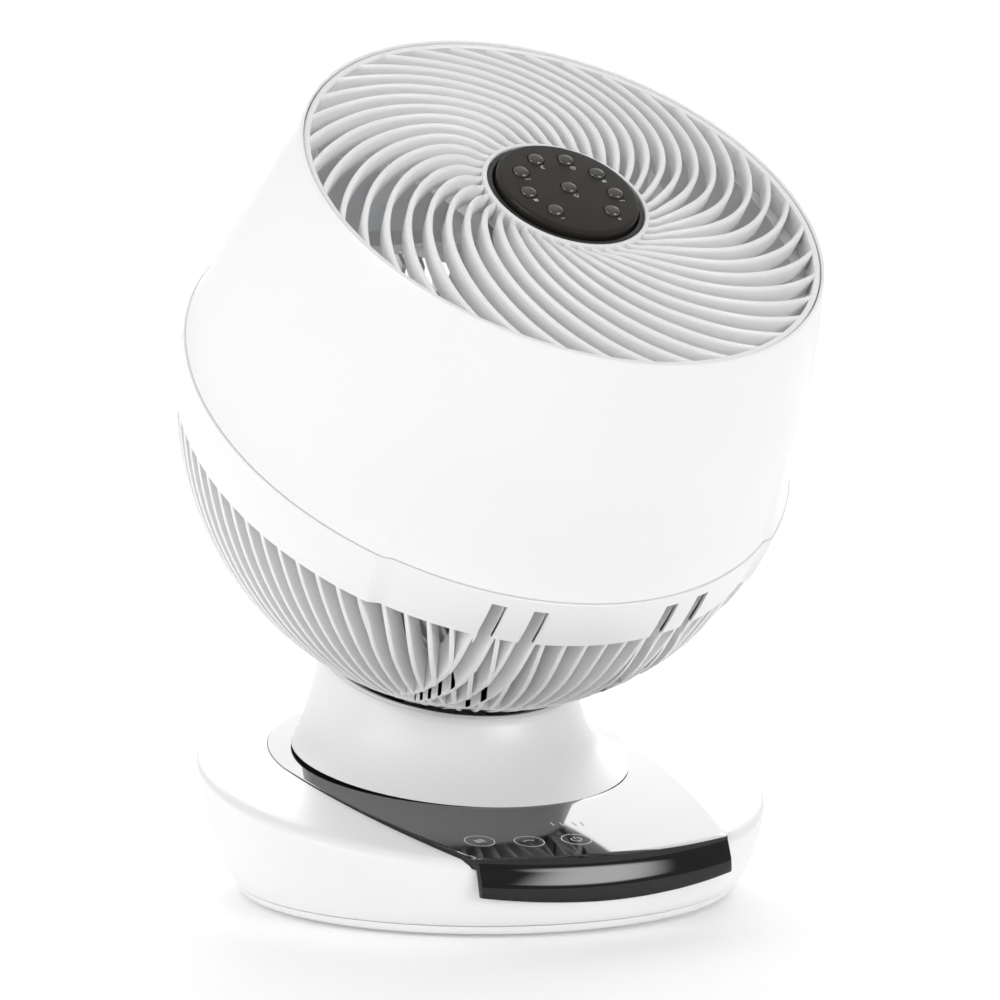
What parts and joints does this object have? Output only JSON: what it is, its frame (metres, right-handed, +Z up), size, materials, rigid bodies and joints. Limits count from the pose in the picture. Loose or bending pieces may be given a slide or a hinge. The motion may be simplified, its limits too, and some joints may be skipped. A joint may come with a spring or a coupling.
{
  "type": "air circulator fan",
  "caption": "Ball-shaped air circulator fan on a turning neck and sloping round base, with a swirl-ribbed front grille, ribbed rear, gloss black touch panel and a docked round remote control.",
  "frame": {"origin": "on the surface that the fan stands on, below the centre of the round base plate", "axes": "+Z up, the front of the fan towards -Y, +X to the right as seen from the front"},
  "size_m": [0.2894, 0.3091, 0.3932],
  "materials": {
    "white_plastic": "satin white moulded plastic",
    "pale_plastic": "matt off-white moulded plastic",
    "panel_black": "high gloss black",
    "remote_black": "satin brown black",
    "key_black": "soft domed keys",
    "rubber": "grey rubber",
    "steel": "zinc plated steel",
    "motor_grey": "grey painted can",
    "gear_plastic": "natural acetal",
    "circuit_board": "green solder mask",
    "dark_plastic": "matt black moulded plastic"
  },
  "bodies": {
    "base": {"base_housing": "white_plastic", "base_plate": "white_plastic", "control_panel": "panel_black", "foot_1": "rubber", "foot_2": "rubber", "foot_3": "rubber", "foot_4": "rubber", "foot_5": "rubber", "base_screw_1": "steel", "base_screw_2": "steel", "base_screw_3": "steel", "base_screw_4": "steel", "power_socket": "dark_plastic", "main_board": "circuit_board", "buzzer": "dark_plastic", "ballast_plate": "steel", "pan_bearing_ring": "dark_plastic", "pan_bracket": "steel", "pan_motor": "motor_grey", "touch_board": "circuit_board", "ir_receiver": "dark_plastic"},
    "neck": {"neck_housing": "white_plastic", "turret": "pale_plastic", "tilt_yoke": "steel", "collar_seal": "rubber", "tilt_motor": "motor_grey", "pivot_pin_left": "steel", "pivot_pin_right": "steel"},
    "pan_pinion": {"pan_pinion": "gear_plastic"},
    "tilt_pinion": {"tilt_pinion": "gear_plastic"},
    "head": {"front_shell": "white_plastic", "rear_shell": "white_plastic", "front_grille": "white_plastic", "dock_cup": "dark_plastic", "dock_magnet": "steel", "air_duct": "pale_plastic", "motor_mount": "pale_plastic", "fan_motor": "motor_grey", "tilt_sector": "gear_plastic", "pivot_bush_left": "dark_plastic", "pivot_bush_right": "dark_plastic", "rear_cap": "white_plastic"},
    "impeller": {"impeller": "pale_plastic", "motor_shaft": "steel", "spinner_nut": "dark_plastic"},
    "remote": {"remote_lower": "remote_black", "remote_upper": "remote_black", "remote_board": "circuit_board", "coin_cell": "steel"},
    "key_1": {"key_1": "key_black"},
    "key_2": {"key_2": "key_black"},
    "key_3": {"key_3": "key_black"},
    "key_4": {"key_4": "key_black"},
    "key_5": {"key_5": "key_black"},
    "key_6": {"key_6": "key_black"},
    "key_7": {"key_7": "key_black"},
    "key_8": {"key_8": "key_black"},
    "key_9": {"key_9": "key_black"}
  },
  "joints": [
    {"name": "neck_pan", "type": "hinge", "parent": "base", "child": "neck", "pos_m": [0, 0.0267, 0.05756], "axis": [0, -0.1822, 0.9833], "range_deg": [-37.5, 37.5]},
    {"name": "head_tilt", "type": "hinge", "parent": "neck", "child": "head", "pos_m": [0, -0.00492, 0.22815], "axis": [-1, 0, 0], "range_deg": [-52.3, 32.7]},
    {"name": "pan_pinion_spin", "type": "hinge", "parent": "base", "child": "pan_pinion", "pos_m": [0, 0.09455, 0.07013], "axis": [0, -0.1822, 0.9833], "range_deg": [-251, 251]},
    {"name": "tilt_pinion_spin", "type": "hinge", "parent": "neck", "child": "tilt_pinion", "pos_m": [0, 0.00853, 0.18521], "axis": [-1, 0, 0], "range_deg": [-132, 210]},
    {"name": "impeller_spin", "type": "hinge", "parent": "head", "child": "impeller", "pos_m": [0, -0.00492, 0.22815], "axis": [0, -0.6115, 0.7912], "continuous": true},
    {"name": "remote_lift", "type": "slide", "parent": "head", "child": "remote", "axis": [0, -0.6115, 0.7912], "range_m": [0, 0.03]},
    {"name": "key_1_press", "type": "slide", "parent": "remote", "child": "key_1", "axis": [0, 0.6115, -0.7912], "range_m": [0, 0.0004], "stiffness_N_per_m": 900, "springref_m": -0.0003},
    {"name": "key_2_press", "type": "slide", "parent": "remote", "child": "key_2", "axis": [0, 0.6115, -0.7912], "range_m": [0, 0.0004], "stiffness_N_per_m": 900, "springref_m": -0.0003},
    {"name": "key_3_press", "type": "slide", "parent": "remote", "child": "key_3", "axis": [0, 0.6115, -0.7912], "range_m": [0, 0.0004], "stiffness_N_per_m": 900, "springref_m": -0.0003},
    {"name": "key_4_press", "type": "slide", "parent": "remote", "child": "key_4", "axis": [0, 0.6115, -0.7912], "range_m": [0, 0.0004], "stiffness_N_per_m": 900, "springref_m": -0.0003},
    {"name": "key_5_press", "type": "slide", "parent": "remote", "child": "key_5", "axis": [0, 0.6115, -0.7912], "range_m": [0, 0.0004], "stiffness_N_per_m": 900, "springref_m": -0.0003},
    {"name": "key_6_press", "type": "slide", "parent": "remote", "child": "key_6", "axis": [0, 0.6115, -0.7912], "range_m": [0, 0.0004], "stiffness_N_per_m": 900, "springref_m": -0.0003},
    {"name": "key_7_press", "type": "slide", "parent": "remote", "child": "key_7", "axis": [0, 0.6115, -0.7912], "range_m": [0, 0.0004], "stiffness_N_per_m": 900, "springref_m": -0.0003},
    {"name": "key_8_press", "type": "slide", "parent": "remote", "child": "key_8", "axis": [0, 0.6115, -0.7912], "range_m": [0, 0.0004], "stiffness_N_per_m": 900, "springref_m": -0.0003},
    {"name": "key_9_press", "type": "slide", "parent": "remote", "child": "key_9", "axis": [0, 0.6115, -0.7912], "range_m": [0, 0.0004], "stiffness_N_per_m": 900, "springref_m": -0.0003}
  ],
  "couplings": [
    {"joint": "pan_pinion_spin", "follows": "neck_pan", "ratio": -6.6667},
    {"joint": "tilt_pinion_spin", "follows": "head_tilt", "ratio": -4}
  ]
}
